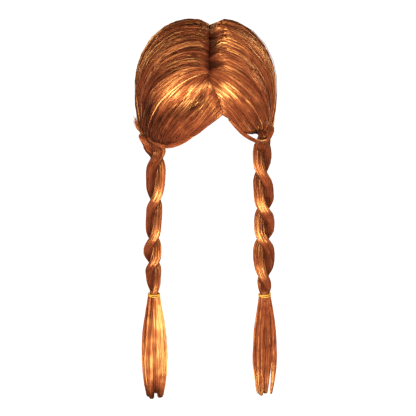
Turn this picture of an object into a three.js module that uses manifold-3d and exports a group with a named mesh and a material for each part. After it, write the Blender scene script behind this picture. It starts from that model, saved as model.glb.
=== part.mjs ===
// A wig with two plaits: a hollow cap of swept hair with a centre parting, a fringe swept to each side,
// and a two-strand rope plait at each temple that ends in an elastic band and a loose tail.
// Millimetres, +Z up, the face opening towards -Y. Left (-X) and right (+X) are as seen from the front.
// The origin is on the crown of the head, under the hair, where the wig sits.

import * as THREE from "three";
import { mergeVertices } from "three/addons/utils/BufferGeometryUtils.js";
import Module from "manifold-3d";

const wasm = await Module();
wasm.setup();

// Driving dimensions

const HEAD = {
  halfWidth: 78,
  halfLength: 96,
  crownRise: 88, // from the widest level up to the crown
  lowerStretch: 150, // how slowly the head narrows below the widest level
  squareness: 2.4, // 2 is an ellipsoid
};
const WIDEST_LEVEL = -HEAD.crownRise;
const HEAD_MIDDLE = new THREE.Vector3(0, 0, WIDEST_LEVEL);

const SEAM_OFFSET = 5; // the parting lies a little to the +X side
const GAP = 0.4; // clear space between neighbouring pieces
const LOCK_COLUMNS = 4; // mesh columns across one lock
const FLOW_ROWS = 11; // mesh rows along a lock
const ROW_CROWDING = 1.5; // above 1 crowds the rows towards the parting

const GATHER_RADIUS = 13; // of the mouth where the cap's hair turns into a plait

const PLAIT = {
  length: 202,
  strandRadius: 7,
  strandOffset: 6, // of a strand's middle from the plait's axis
  quickening: 0.68, // share by which the strands turn faster where they cross, and slower between
  rings: 40,
  arcPoints: 8, // round the open side of a strand's section
};
const STRANDS = ["a", "b"];

const NECK_RADIUS = 6.2; // the hair inside the elastic band
const BAND = {
  innerRadius: 7.1,
  furrowRadius: 7.6, // between two ridges
  outerRadius: 8.1,
  height: 4.8,
  ridges: 2,
  ridgeSteps: 4,
  sides: 16,
  below: 6, // of its middle from the plait's end
};
const TAIL = { rings: 7, sides: 6, neckSides: 12, neckDepth: 14, locksStart: 10.5 };

const HAIR_LOOKS = { color: 0x8f4826, roughness: 0.42, metalness: 0 };
const BAND_LOOKS = { color: 0xd6a136, roughness: 0.55, metalness: 0 };

// Guide strands of the crown hair, one row each, from the front of the parting to the nape.
// partAngle runs up and over the head from the front, mid is where the strand passes the side of the head
// on the +X side, and turn is where it enters the gather, round the plait's root from the front
// over the top.
const CROWN_FRONT = {
  left: { partAngle: 40, midAzimuth: 44, midElevation: 35, turn: 70 },
  right: { partAngle: 40, midAzimuth: 34, midElevation: 30, turn: 70 },
};
const CROWN_BACK = [
  { partAngle: 66, midAzimuth: 66, midElevation: 47, turn: 92 },
  { partAngle: 98, midAzimuth: 92, midElevation: 45, turn: 116 },
  { partAngle: 138, midAzimuth: 116, midElevation: 23, turn: 146 },
  { partAngle: 173, midAzimuth: 125, midElevation: -1, turn: 173 },
  { partAngle: 203, midAzimuth: 127, midElevation: -16, turn: 200 },
];

// Guide strands of each fringe, from the line that divides the two to the front of the crown hair,
// where the first crown guide completes the table. end is where the strand reaches the face opening.
const FRINGE_DIVIDE = {
  partAngle: 34,
  midAzimuth: 8.4,
  midElevation: 23.5,
  endAzimuth: 12.8,
  endElevation: 8.3,
};
const FRINGE_GUIDES = {
  left: [
    FRINGE_DIVIDE,
    { partAngle: 34.8, midAzimuth: 3, midElevation: 25, endAzimuth: 3.2, endElevation: 0.9 },
    { partAngle: 35.6, midAzimuth: -3, midElevation: 26, endAzimuth: -5.2, endElevation: -6 },
    { partAngle: 36.4, midAzimuth: -10, midElevation: 27, endAzimuth: -14.2, endElevation: -11 },
    { partAngle: 37.2, midAzimuth: -18, midElevation: 28.5, endAzimuth: -23, endElevation: -16.5 },
    { partAngle: 38, midAzimuth: -26, midElevation: 30, endAzimuth: -31, endElevation: -20 },
    { partAngle: 38.7, midAzimuth: -33, midElevation: 32, endAzimuth: -40, endElevation: -21.5 },
    { partAngle: 39.4, midAzimuth: -39, midElevation: 34, endAzimuth: -50, endElevation: -22 },
  ],
  right: [
    FRINGE_DIVIDE,
    { partAngle: 35, midAzimuth: 13, midElevation: 24, endAzimuth: 17.8, endElevation: 4.8 },
    { partAngle: 36, midAzimuth: 18, midElevation: 25, endAzimuth: 22.2, endElevation: -1.2 },
    { partAngle: 37, midAzimuth: 22, midElevation: 26, endAzimuth: 27.5, endElevation: -6 },
    { partAngle: 38, midAzimuth: 26, midElevation: 27.5, endAzimuth: 35, endElevation: -10 },
    { partAngle: 39, midAzimuth: 30, midElevation: 29, endAzimuth: 48, endElevation: -14 },
  ],
};

// Thickness of the hair along a strand, from the parting at 0 to its end at 1.
const CROWN_DEPTH = {
  left: [
    { along: 0, depth: 6 },
    { along: 0.09, depth: 11 },
    { along: 0.26, depth: 12.6 },
    { along: 0.5, depth: 10.8 },
    { along: 0.8, depth: 6 },
    { along: 1, depth: 4 },
  ],
  right: [
    { along: 0, depth: 4 },
    { along: 0.045, depth: 4.5 },
    { along: 0.08, depth: 7.5 },
    { along: 0.125, depth: 13.4 },
    { along: 0.23, depth: 14.6 },
    { along: 0.5, depth: 12.2 },
    { along: 0.8, depth: 10 },
    { along: 1, depth: 7 },
  ],
};
const FRINGE_DEPTH = [
  { along: 0, depth: 6 },
  { along: 0.16, depth: 11 },
  { along: 0.38, depth: 17 },
  { along: 0.56, depth: 20 },
  { along: 0.74, depth: 17.5 },
  { along: 0.88, depth: 11.5 },
  { along: 1, depth: 3 },
];
// Shares past which the fringe takes on the crown hair's depth beside it, and loses it again
// along the strand.
const FRINGE_BLEND = { across: 0.6, along: 0.7 };
// How far a lock's crest stands over the furrow beside it, and how that fades where the hair
// is drawn together.
const LOCKS = { relief: 2.6, fadeFrom: 0.7, fadedBy: 0.7 };
const NAPE_EDGE = { share: 0.1, depth: 3 }; // the last share of the crown hair thins to this depth

// The two sides. sign is the side of the parting; gather is the middle of the mouth on the head,
// with its drop below the widest level; twist is the way the plait turns as it goes down.
const SIDES = {
  left: {
    sign: -1,
    crownLocks: 8,
    fringeLocks: 6,
    gather: { x: -72, y: -38, drop: -42 },
    rootX: -63.5,
    twist: -1,
    bandTilt: { x: -0.17, y: -0.03 },
  },
  right: {
    sign: 1,
    crownLocks: 8,
    fringeLocks: 5,
    gather: { x: 73, y: -38, drop: -39 },
    rootX: 73,
    twist: 1,
    bandTilt: { x: -0.17, y: -0.09 },
  },
};
const ROOT_Y = -38;
const ROOT_Z = WIDEST_LEVEL - 45;

// How each plait hangs below its root: its sideways sway, its girth against the full section and
// the half turns made so far, a whole number where one strand crosses in front of the other.
const PLAIT_HANG = {
  left: [
    { drop: 0, sway: -0.6, girth: 1.04, halfTurns: -0.35 },
    { drop: 9, sway: 1.2, girth: 1.09, halfTurns: -0.2 },
    { drop: 19, sway: 2.2, girth: 0.98, halfTurns: 0 },
    { drop: 46, sway: 1.8, girth: 0.93, halfTurns: 0.5 },
    { drop: 75, sway: 0.2, girth: 0.85, halfTurns: 1 },
    { drop: 101, sway: -1.2, girth: 0.76, halfTurns: 1.5 },
    { drop: 129, sway: -2.6, girth: 0.8, halfTurns: 2 },
    { drop: 148, sway: -3.6, girth: 0.84, halfTurns: 2.55 },
    { drop: 163, sway: -3, girth: 0.82, halfTurns: 3 },
    { drop: 180, sway: -2.6, girth: 0.74, halfTurns: 3.45 },
    { drop: 202, sway: -2.2, girth: 0.57, halfTurns: 3.9 },
  ],
  right: [
    { drop: 0, sway: 0, girth: 0.8, halfTurns: -0.7 },
    { drop: 15, sway: -0.1, girth: 0.88, halfTurns: -0.4 },
    { drop: 38, sway: -0.1, girth: 0.9, halfTurns: 0 },
    { drop: 66, sway: 2.5, girth: 0.95, halfTurns: 0.55 },
    { drop: 88, sway: 3.5, girth: 0.98, halfTurns: 1 },
    { drop: 130, sway: 3.4, girth: 0.98, halfTurns: 2 },
    { drop: 155, sway: 3.6, girth: 1.04, halfTurns: 2.5 },
    { drop: 182, sway: 4.2, girth: 0.85, halfTurns: 3 },
    { drop: 202, sway: 5, girth: 0.57, halfTurns: 3.4 },
  ],
};

// The gather's own outline: sections below the top of its mouth, how far each has moved from the
// head's side to the plait's root, and its half sizes.
const GATHER_SECTIONS = [
  { below: 0.8, moved: 0, halfX: 2, halfY: 2 },
  { below: 2.5, moved: 0, halfX: 4, halfY: 6 },
  { below: 5.5, moved: 0.05, halfX: 5.2, halfY: 9.2 },
  { below: 9.5, moved: 0.3, halfX: 6.5, halfY: 11 },
  { below: 13, moved: 0.7, halfX: 8, halfY: 10.5 },
];
const GATHER_STANDOFF = 5.5; // of the gather's middle from the head
const GATHER_SIDES = 12;

// How a tail's locks spread from the neck and swell, as shares of their full places and widths.
const TAIL_SHAPE = [
  { along: 0, spread: 0.37, width: 0.6 },
  { along: 0.14, spread: 0.66, width: 0.74 },
  { along: 0.34, spread: 0.88, width: 0.9 },
  { along: 0.6, spread: 1, width: 1 },
  { along: 0.76, spread: 0.96, width: 0.9 },
  { along: 0.88, spread: 0.86, width: 0.72 },
  { along: 1, spread: 0.7, width: 0.45 },
];
// How far each tail swings forward from the plait's line on its way down.
const TAIL_BOW = {
  left: [
    { along: 0, forward: 0 },
    { along: 0.2, forward: 3 },
    { along: 0.5, forward: 9.5 },
    { along: 0.75, forward: 12.5 },
    { along: 1, forward: 10.5 },
  ],
  right: [
    { along: 0, forward: 0 },
    { along: 0.25, forward: -1.5 },
    { along: 0.55, forward: -3 },
    { along: 0.8, forward: -1.5 },
    { along: 1, forward: 3 },
  ],
};

// The loose locks of each tail: where the lock hangs at the tail's widest, its length and its half width.
const TAIL_LOCKS = {
  left: [
    { x: -11.5, y: 1, length: 149, halfWidth: 4.7 },
    { x: -6, y: -4.5, length: 150, halfWidth: 5.2 },
    { x: -1, y: 4, length: 143, halfWidth: 5.4 },
    { x: 4, y: -4.5, length: 142, halfWidth: 5.2 },
    { x: 8.5, y: 3, length: 151, halfWidth: 5 },
    { x: 11.5, y: -1.5, length: 149, halfWidth: 4.8 },
  ],
  right: [
    { x: -9, y: 1, length: 148, halfWidth: 4.7 },
    { x: -4.5, y: -4.5, length: 149, halfWidth: 5.2 },
    { x: 0, y: 4, length: 147, halfWidth: 5.4 },
    { x: 3.5, y: -4, length: 146, halfWidth: 5 },
    { x: 9, y: 3, length: 114, halfWidth: 5 },
    { x: 13.6, y: -1, length: 148, halfWidth: 3.2 },
  ],
};

// Locks that leave the fringe's edge and wrap across the plait's root, as places on the way.
const WRAP_LOCKS = {
  left: {
    radius: 2.4,
    route: [
      { x: -10, y: -99, z: -96.5 },
      { x: -22, y: -97.8, z: -105.6 },
      { x: -36.4, y: -93.3, z: -114 },
      { x: -48.6, y: -86, z: -118 },
      { x: -58.7, y: -77, z: -118 },
      { x: -66.5, y: -67, z: -116.5 },
      { x: -71.5, y: -57, z: -114.5 },
    ],
  },
  right: {
    radius: 2.3,
    route: [
      { x: 29.5, y: -97, z: -79.5 },
      { x: 38.5, y: -96, z: -89 },
      { x: 47.4, y: -92.5, z: -99.3 },
      { x: 56.3, y: -85, z: -108 },
      { x: 64, y: -76, z: -115 },
      { x: 72, y: -64, z: -121 },
      { x: 79.5, y: -52, z: -121.5 },
      { x: 85, y: -44, z: -115 },
      { x: 86.5, y: -39, z: -110 },
    ],
  },
};
// The tapers are the shares of its radius that a lock loses where it leaves the fringe and where it ends.
const WRAP = { rings: 18, sides: 6, startTaper: 0.8, endTaper: 0.6 };

// Small helpers

const radians = THREE.MathUtils.degToRad;

function smoothstep(low, high, value) {
  return THREE.MathUtils.smoothstep(value, low, high);
}

// A smooth reading of a table: the value in column "output" where column "input" is t.
function readTable(rows, input, output, t) {
  const last = rows.length - 1;
  let k = 0;
  while (k < last - 1 && t > rows[k + 1][input]) k++;
  const slopeAt = (i) => {
    const before = rows[Math.max(i - 1, 0)];
    const after = rows[Math.min(i + 1, last)];
    return (after[output] - before[output]) / (after[input] - before[input]);
  };
  const span = rows[k + 1][input] - rows[k][input];
  const s = THREE.MathUtils.clamp((t - rows[k][input]) / span, 0, 1);
  const rise = rows[k + 1][output] - rows[k][output];
  const first = slopeAt(k) * span;
  const second = slopeAt(k + 1) * span;
  const square = 3 * rise - 2 * first - second;
  const cube = first + second - 2 * rise;
  return rows[k][output] + s * (first + s * (square + s * cube));
}

// A direction from the middle of the head: azimuth from the front towards +X, elevation above
// the widest level.
function direction(azimuth, elevation) {
  const a = radians(azimuth);
  const e = radians(elevation);
  return new THREE.Vector3(Math.cos(e) * Math.sin(a), -Math.cos(e) * Math.cos(a), Math.sin(e));
}

// The place on the head in a direction, raised by a thickness of hair.
function overHead(toward, depth) {
  const d = toward.clone().normalize();
  const n = HEAD.squareness;
  const half = [HEAD.halfWidth, HEAD.halfLength, d.z > 0 ? HEAD.crownRise : HEAD.lowerStretch];
  const along = d.toArray();
  const reach = along.reduce((sum, part, i) => sum + Math.abs(part / half[i]) ** n, 0) ** (-1 / n);
  const point = d.multiplyScalar(reach);
  const outward = new THREE.Vector3().fromArray(
    point.toArray().map((part, i) => (Math.sign(part) * Math.abs(part) ** (n - 1)) / half[i] ** n),
  );
  return point.addScaledVector(outward.normalize(), depth).add(HEAD_MIDDLE);
}

// A direction to the parting, partAngle up and over from the front, beside the seam on one side of it.
function partDirection(partAngle, sign) {
  const a = radians(partAngle);
  const toward = new THREE.Vector3(0, -Math.cos(a), Math.sin(a));
  const reach = overHead(toward, 0).distanceTo(HEAD_MIDDLE);
  toward.x = (SEAM_OFFSET + (sign * GAP) / 2) / reach;
  return toward.normalize();
}

// The direction to a place on the mouth of a side's gather, "turn" degrees round it from the front
// over the top.
function gatherDirection(side, turn) {
  const { x, y, drop } = side.gather;
  const a = radians(turn);
  const ahead = GATHER_RADIUS * Math.cos(a);
  const above = GATHER_RADIUS * Math.sin(a);
  return new THREE.Vector3(x, y - ahead, drop + above).normalize();
}

// The three directions that steer a guide strand.
function steer(guide, side) {
  const start = partDirection(guide.partAngle, side.sign);
  const toGather = guide.turn !== undefined;
  const mid = direction(guide.midAzimuth * (toGather ? side.sign : 1), guide.midElevation);
  const end = toGather ? gatherDirection(side, guide.turn) : direction(guide.endAzimuth, guide.endElevation);
  return { start, mid, end };
}

// A field of strands between guides: flow(u, v) is a direction, u across the strands and v along them.
function flowField(guides, side) {
  const steered = guides.map((guide) => steer(guide, side));
  const across = (key) => {
    const curve = new THREE.CatmullRomCurve3(steered.map((directions) => directions[key]));
    curve.curveType = "catmullrom";
    return curve;
  };
  const curves = ["start", "mid", "end"].map(across);
  return (u, v) => new THREE.QuadraticBezierCurve3(...curves.map((curve) => curve.getPoint(u))).getPoint(v);
}

// How far a lock's rounded back stands over its furrows, fading where the hair is drawn together.
function lockRise(u, v, locks) {
  const across = 2 * ((u * locks) % 1) - 1;
  return LOCKS.relief * (0.5 - across * across) * (1 - LOCKS.fadedBy * smoothstep(LOCKS.fadeFrom, 1, v));
}

function namedMesh(name, geometry, looks) {
  const mesh = new THREE.Mesh(geometry, new THREE.MeshStandardMaterial(looks));
  mesh.name = name;
  return mesh;
}

function geometryOf(points, triangles) {
  const geometry = new THREE.BufferGeometry().setFromPoints(points);
  geometry.setIndex(triangles);
  geometry.computeVertexNormals();
  return geometry;
}

// Closed solids from rings and grids

function ringOf(sides, pointAt) {
  return Array.from({ length: sides }, (_, j) => pointAt((2 * Math.PI * j) / sides));
}

// A level oval ring about a middle.
function ovalAt(sides, middle, halfX, halfY) {
  return ringOf(sides, (angle) =>
    new THREE.Vector3(halfX * Math.cos(angle), halfY * Math.sin(angle), 0).add(middle),
  );
}

// A closed solid through equal rings of points, listed from top to bottom, each ring anticlockwise
// from above.
// The faces of side j are split along the other diagonal where turnSplit(j) says so.
function loftRings(rings, turnSplit = () => false) {
  const sides = rings[0].length;
  const points = rings.flat();
  const triangles = [];
  for (let k = 0; k + 1 < rings.length; k++) {
    for (let j = 0; j < sides; j++) {
      const a = k * sides + j;
      const b = k * sides + ((j + 1) % sides);
      if (turnSplit(j)) triangles.push(a, a + sides, b + sides, a, b + sides, b);
      else triangles.push(a, a + sides, b, b, a + sides, b + sides);
    }
  }
  const base = (rings.length - 1) * sides;
  for (let j = 1; j + 1 < sides; j++) {
    triangles.push(0, j, j + 1, base, base + j + 1, base + j);
  }
  return geometryOf(points, triangles);
}

// A closed wall between an outer and an inner grid of points, grid[column][row].
function wallBetween(outer, inner, flip) {
  const columns = outer.length;
  const rows = outer[0].length;
  const points = [...outer.flat(), ...inner.flat()];
  const triangles = [];
  const at = (layer, c, r) => layer * columns * rows + c * rows + r;
  const quad = (a, b, c, d) => (flip ? triangles.push(a, c, b, a, d, c) : triangles.push(a, b, c, a, c, d));
  for (let c = 0; c + 1 < columns; c++) {
    for (let r = 0; r + 1 < rows; r++) {
      quad(at(0, c, r), at(0, c, r + 1), at(0, c + 1, r + 1), at(0, c + 1, r));
      quad(at(1, c, r), at(1, c + 1, r), at(1, c + 1, r + 1), at(1, c, r + 1));
    }
    quad(at(0, c, 0), at(0, c + 1, 0), at(1, c + 1, 0), at(1, c, 0));
    quad(at(0, c, rows - 1), at(1, c, rows - 1), at(1, c + 1, rows - 1), at(0, c + 1, rows - 1));
  }
  for (let r = 0; r + 1 < rows; r++) {
    quad(at(0, 0, r), at(1, 0, r), at(1, 0, r + 1), at(0, 0, r + 1));
    quad(at(0, columns - 1, r), at(0, columns - 1, r + 1), at(1, columns - 1, r + 1), at(1, columns - 1, r));
  }
  return geometryOf(points, triangles);
}

// Joining and cutting

function solidOf(geometry) {
  const bare = geometry.clone();
  bare.deleteAttribute("normal");
  bare.deleteAttribute("uv");
  const merged = mergeVertices(bare, 1e-4);
  return new wasm.Manifold(
    new wasm.Mesh({
      numProp: 3,
      vertProperties: new Float32Array(merged.attributes.position.array),
      triVerts: new Uint32Array(merged.index.array),
    }),
  );
}

function geometryFrom(solid) {
  const mesh = solid.getMesh();
  const geometry = new THREE.BufferGeometry();
  geometry.setAttribute("position", new THREE.BufferAttribute(mesh.vertProperties, 3));
  geometry.setIndex(Array.from(mesh.triVerts));
  geometry.computeVertexNormals();
  return geometry;
}

function joined(geometries) {
  return geometryFrom(geometries.map(solidOf).reduce((whole, piece) => whole.add(piece)));
}

function cutAway(geometry, cutter) {
  return geometryFrom(solidOf(geometry).subtract(solidOf(cutter)));
}

// Moves the first and last columns of a grid half a gap inwards, clear of the neighbouring panel.
function drawInEdges(grid) {
  const last = grid.length - 1;
  for (const [edge, next] of [[0, 1], [last, last - 1]]) {
    grid[edge].forEach((point, r) => {
      const inward = grid[next][r].clone().sub(point).normalize();
      point.addScaledVector(inward, GAP / 2);
    });
  }
  return grid;
}

// The cap

// A panel of swept hair over the head, with its locks in relief. depthAt(u, v) is its thickness.
function hairPanel(guides, side, locks, depthAt) {
  const flow = flowField(guides, side);
  const columns = locks * LOCK_COLUMNS;
  const gridOf = (depth) =>
    Array.from({ length: columns + 1 }, (_, c) =>
      Array.from({ length: FLOW_ROWS + 1 }, (_, r) => {
        const u = c / columns;
        const v = (r / FLOW_ROWS) ** ROW_CROWDING;
        return overHead(flow(u, v), depth(u, v));
      }),
    );
  const outer = drawInEdges(gridOf(depthAt));
  const inner = drawInEdges(gridOf(() => 0));
  return wallBetween(outer, inner, side.sign < 0);
}

function crownDepth(sideName, v) {
  return readTable(CROWN_DEPTH[sideName], "along", "depth", v);
}

function crownPanel(sideName) {
  const side = SIDES[sideName];
  const depthAt = (u, v) => {
    const full = crownDepth(sideName, v) + lockRise(u, v, side.crownLocks);
    return THREE.MathUtils.lerp(full, NAPE_EDGE.depth, smoothstep(1 - NAPE_EDGE.share, 1, u));
  };
  return hairPanel([CROWN_FRONT[sideName], ...CROWN_BACK], side, side.crownLocks, depthAt);
}

function fringePanel(sideName) {
  const side = SIDES[sideName];
  const guides = [...FRINGE_GUIDES[sideName], CROWN_FRONT[sideName]];
  const depthAt = (u, v) => {
    const own = readTable(FRINGE_DEPTH, "along", "depth", v);
    const besideCrown = smoothstep(FRINGE_BLEND.across, 1, u) * (1 - smoothstep(FRINGE_BLEND.along, 1, v));
    return THREE.MathUtils.lerp(own, crownDepth(sideName, v), besideCrown) + lockRise(u, v, side.fringeLocks);
  };
  return hairPanel(guides, side, side.fringeLocks, depthAt);
}

// The locks that wrap the plaits' roots, grown by a clearance when they are used as cutters.
function wrapLock(sideName, clearance) {
  const { radius, route } = WRAP_LOCKS[sideName];
  const path = new THREE.CatmullRomCurve3(route.map(({ x, y, z }) => new THREE.Vector3(x, y, z)));
  const frames = path.computeFrenetFrames(WRAP.rings, false);
  const rings = Array.from({ length: WRAP.rings + 1 }, (_, k) => {
    const t = k / WRAP.rings;
    const taper = t < 0.5 ? WRAP.startTaper : WRAP.endTaper;
    const full = radius * (1 - taper * (2 * t - 1) ** 4) + clearance;
    return ringOf(WRAP.sides, (angle) =>
      path
        .getPointAt(t)
        .addScaledVector(frames.normals[k], full * Math.cos(angle))
        .addScaledVector(frames.binormals[k], -full * Math.sin(angle)),
    );
  });
  return loftRings(rings);
}

// The hair drawn together in the mouth of the cap, from which the plait starts.
function gatherTuft(sideName) {
  const side = SIDES[sideName];
  const mouth = overHead(new THREE.Vector3(side.gather.x, side.gather.y, side.gather.drop), GATHER_STANDOFF);
  const top = mouth.z + GATHER_RADIUS;
  const rows = [
    ...GATHER_SECTIONS,
    {
      below: top - ROOT_Z - GAP,
      moved: 1,
      halfX: hangAt(sideName, 0).girth * (PLAIT.strandRadius + PLAIT.strandOffset),
      halfY: hangAt(sideName, 0).girth * (PLAIT.strandRadius + PLAIT.strandOffset / 2),
    },
  ];
  const rings = rows.map(({ below, moved, halfX, halfY }) => {
    const x = THREE.MathUtils.lerp(mouth.x, side.rootX, moved);
    const y = THREE.MathUtils.lerp(mouth.y, ROOT_Y, moved);
    return ovalAt(GATHER_SIDES, new THREE.Vector3(x, y, top - below), halfX, halfY);
  });
  return loftRings(rings);
}

// The plaits, their bands and tails, below the root

function hangAt(sideName, drop) {
  const read = (column) => readTable(PLAIT_HANG[sideName], "drop", column, drop);
  const halfTurns = read("halfTurns");
  const ahead = (PLAIT.quickening * Math.sin(2 * Math.PI * halfTurns)) / (2 * Math.PI);
  return { sway: read("sway"), girth: read("girth"), halfTurns: halfTurns + ahead };
}

// One strand of a plait. Its section is round outside and flat where it lies against the other strand,
// and it turns round the plait's axis, "share" of a turn ahead of the first strand.
function plaitStrand(sideName, share) {
  const { twist } = SIDES[sideName];
  const rings = Array.from({ length: PLAIT.rings + 1 }, (_, k) => {
    const drop = (PLAIT.length * k) / PLAIT.rings;
    const { sway, girth, halfTurns } = hangAt(sideName, drop);
    const bearing = Math.PI * (twist * halfTurns + 2 * share - 0.5);
    const radius = PLAIT.strandRadius * girth;
    const offset = PLAIT.strandOffset * girth;
    const flat = GAP / 2;
    const open = Math.acos((flat - offset) / radius);
    const section = [new THREE.Vector2(flat, 0)];
    for (let j = 0; j < PLAIT.arcPoints; j++) {
      const angle = open * ((2 * j) / (PLAIT.arcPoints - 1) - 1);
      section.push(new THREE.Vector2(offset + radius * Math.cos(angle), radius * Math.sin(angle)));
    }
    return section.map((point) => {
      const turned = point.rotateAround(new THREE.Vector2(), bearing);
      return new THREE.Vector3(sway + turned.x, turned.y, -drop);
    });
  });
  const besideFlat = (j) => j === 0 || j === PLAIT.arcPoints;
  return loftRings(rings, (j) => besideFlat(j) === twist > 0);
}

// An elastic band wound round the neck of the tail, with a ridge for each turn.
function elasticBand() {
  const half = BAND.height / 2;
  const outline = [new THREE.Vector2(BAND.innerRadius, half), new THREE.Vector2(BAND.innerRadius, -half)];
  const steps = BAND.ridgeSteps * BAND.ridges;
  for (let k = 0; k <= steps; k++) {
    const bulge = Math.abs(Math.sin((Math.PI * k) / BAND.ridgeSteps));
    const radius = THREE.MathUtils.lerp(BAND.furrowRadius, BAND.outerRadius, bulge);
    outline.push(new THREE.Vector2(radius, half * ((2 * k) / steps - 1)));
  }
  outline.push(outline[0].clone());
  const ring = new THREE.LatheGeometry(outline, BAND.sides);
  ring.rotateX(Math.PI / 2);
  return ring;
}

// A loose tail: locks that part from a common neck, hang together and end bluntly.
function looseTail(sideName) {
  const neck = new THREE.CylinderGeometry(NECK_RADIUS, NECK_RADIUS, TAIL.neckDepth, TAIL.neckSides);
  neck.rotateX(Math.PI / 2);
  neck.translate(0, 0, -TAIL.neckDepth / 2);
  const locks = TAIL_LOCKS[sideName].map(({ x, y, length, halfWidth }) => {
    const rings = Array.from({ length: TAIL.rings + 1 }, (_, k) => {
      const t = k / TAIL.rings;
      const spread = readTable(TAIL_SHAPE, "along", "spread", t);
      const radius = halfWidth * readTable(TAIL_SHAPE, "along", "width", t);
      const drop = THREE.MathUtils.lerp(TAIL.locksStart, length, t);
      const forward = readTable(TAIL_BOW[sideName], "along", "forward", t);
      return ovalAt(TAIL.sides, new THREE.Vector3(x * spread, y * spread - forward, -drop), radius, radius);
    });
    return loftRings(rings);
  });
  return joined([neck, ...locks]);
}

// Assembly

const group = new THREE.Group();
for (const [sideName, side] of Object.entries(SIDES)) {
  const wrapCutter = wrapLock(sideName, GAP);
  const cap = {
    crown: crownPanel(sideName),
    fringe: fringePanel(sideName),
    gather: gatherTuft(sideName),
  };
  for (const [piece, geometry] of Object.entries(cap)) {
    group.add(namedMesh(piece + "_" + sideName, cutAway(geometry, wrapCutter), HAIR_LOOKS));
  }
  group.add(namedMesh("wrap_lock_" + sideName, wrapLock(sideName, 0), HAIR_LOOKS));

  const plait = new THREE.Group();
  plait.position.set(side.rootX, ROOT_Y, ROOT_Z);
  STRANDS.forEach((strand, k) => {
    const geometry = plaitStrand(sideName, k / STRANDS.length);
    plait.add(namedMesh("plait_" + sideName + "_" + strand, geometry, HAIR_LOOKS));
  });
  const below = new THREE.Group();
  below.position.set(hangAt(sideName, PLAIT.length).sway, 0, -PLAIT.length - GAP);
  const band = namedMesh("band_" + sideName, elasticBand(), BAND_LOOKS);
  band.position.z = -BAND.below;
  band.rotation.set(side.bandTilt.x, side.bandTilt.y, 0);
  below.add(band, namedMesh("tail_" + sideName, looseTail(sideName), HAIR_LOOKS));
  plait.add(below);
  group.add(plait);
}

export default group;
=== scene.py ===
import math
import bmesh
import bpy
import numpy as np
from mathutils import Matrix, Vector


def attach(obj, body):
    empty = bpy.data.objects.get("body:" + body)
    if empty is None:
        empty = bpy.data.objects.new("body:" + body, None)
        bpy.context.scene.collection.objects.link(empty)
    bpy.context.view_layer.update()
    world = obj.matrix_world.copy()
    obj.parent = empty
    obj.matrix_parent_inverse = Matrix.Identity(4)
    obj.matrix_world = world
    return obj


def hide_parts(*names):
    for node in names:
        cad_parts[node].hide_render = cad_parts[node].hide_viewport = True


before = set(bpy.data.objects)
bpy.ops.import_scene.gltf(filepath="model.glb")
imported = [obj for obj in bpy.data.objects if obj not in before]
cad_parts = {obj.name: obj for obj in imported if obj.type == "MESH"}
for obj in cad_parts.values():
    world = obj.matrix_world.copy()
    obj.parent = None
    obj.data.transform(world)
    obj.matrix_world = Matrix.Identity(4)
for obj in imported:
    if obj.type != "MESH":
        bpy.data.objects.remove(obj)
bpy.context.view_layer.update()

# An auburn wig of modacrylic hair: swept cap with a parting and a fringe, two rope plaits, elastic bands, tails.
# Tables are in millimetres like the CAD. Meshes are made in metres.
# u runs across the hair and v or t along it, both from 0 to 1.

mm = 0.001
fullTurn = 2 * math.pi
added = {}  # triangles of each finished piece


# colours and nodes

def linear(hexColour):
    parts = [int(hexColour[i:i + 2], 16) / 255 for i in (1, 3, 5)]
    return [p / 12.92 if p <= 0.04045 else ((p + 0.055) / 1.055) ** 2.4 for p in parts] + [1.0]


def addNode(tree, kind, sockets=None, stops=None, **settings):
    node = tree.nodes.new("ShaderNode" + kind)
    for name, value in settings.items():
        setattr(node, name, value)
    if stops:  # a colour ramp: (place, hex)
        ramp = node.color_ramp
        while len(ramp.elements) < len(stops):
            ramp.elements.new(0.5)
        for element, (place, colour) in zip(ramp.elements, stops):
            element.position, element.color = place, linear(colour)
    for name, value in (sockets or {}).items():
        if isinstance(value, bpy.types.NodeSocket):
            tree.links.new(value, node.inputs[name])
        else:
            node.inputs[name].default_value = value
    return node


def newMaterial(name):
    material = bpy.data.materials.new(name)
    material.use_nodes = True
    material.node_tree.nodes.clear()
    return material, material.node_tree


# Modacrylic fibre, extruded smooth and dyed in several close shades: glossy along its length, with an amber
# tint in the gloss because light also comes back from inside the clear fibre.
fibreLook = {
    "stops": [(0.0, "#220e08"), (0.3, "#451e11"), (0.55, "#602f1c"), (0.8, "#84492a"), (1.0, "#cc9a5e")],
    "roughness": (0.32, 0.42),
    "glossTint": "#ffb66c",
    "bend": 1.75,  # IOR, above the 1.5 of the plastic to stand for the light sent back from inside
    "shadeSpan": 14,  # mm, how far a shade runs along a fibre before it drifts
    "shadeDrift": 0.10,
    "noiseSpan": (0.3, 0.7),  # where most of a noise's values lie
}


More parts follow.
